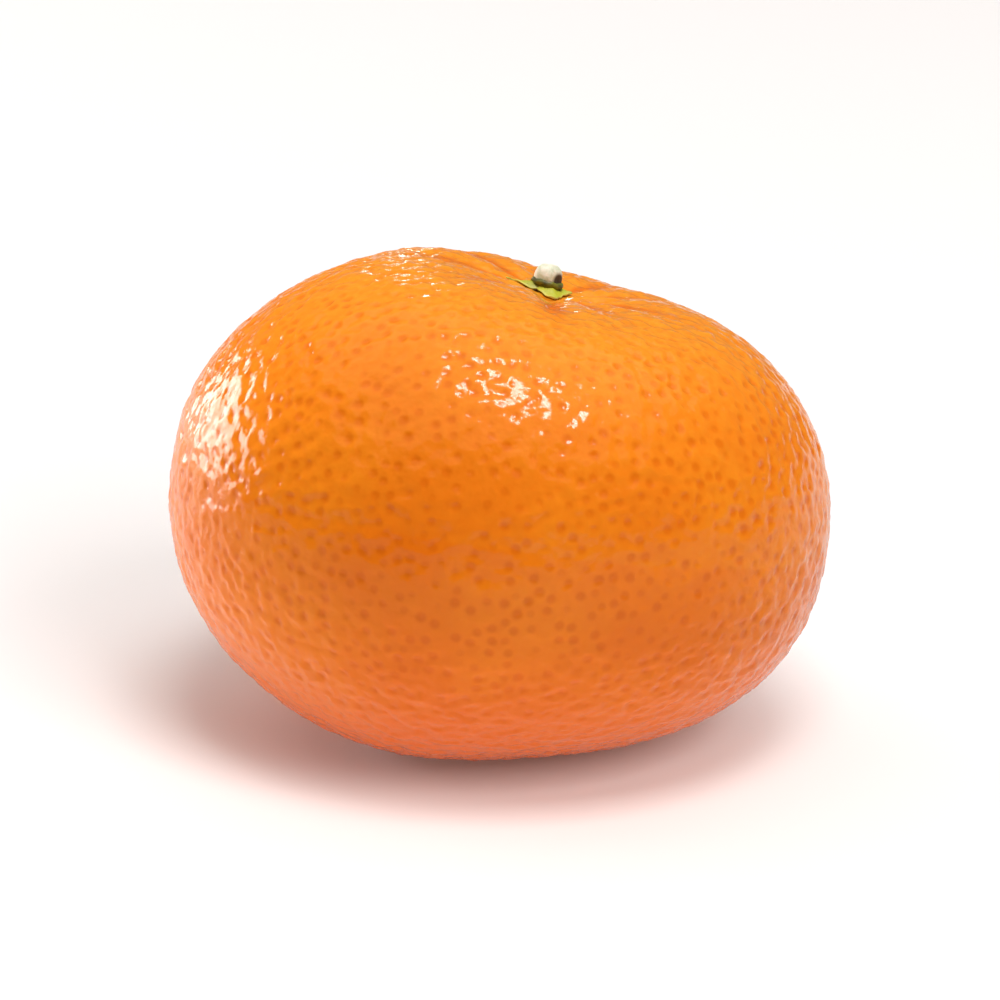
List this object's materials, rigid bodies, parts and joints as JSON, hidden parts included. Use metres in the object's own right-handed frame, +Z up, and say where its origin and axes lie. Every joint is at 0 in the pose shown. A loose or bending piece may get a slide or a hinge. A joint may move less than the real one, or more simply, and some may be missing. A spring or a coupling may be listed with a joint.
{
  "type": "mandarin",
  "caption": "Whole mandarin: a flattened, slightly leaning citrus fruit with a basin at its stem end, a small calyx and a cut stem stub, resting on a small flat spot.",
  "frame": {"origin": "on the resting plane, below the middle of the fruit's bounding box", "axes": "+Z up, square to the flat spot the fruit rests on; the stem end leans towards +X and +Y"},
  "size_m": [0.0658, 0.0658, 0.05],
  "materials": {
    "peel": "glossy, waxy orange citrus peel, pitted all over with small oil glands that show as darker orange dots",
    "calyx": "matt yellow-green plant tissue with paler edges",
    "stem": "dry, pale grey-green cut stem with a dark scar"
  },
  "bodies": {
    "root": {"fruit": "peel", "calyx": "calyx", "stem_stub": "stem"}
  },
  "joints": []
}
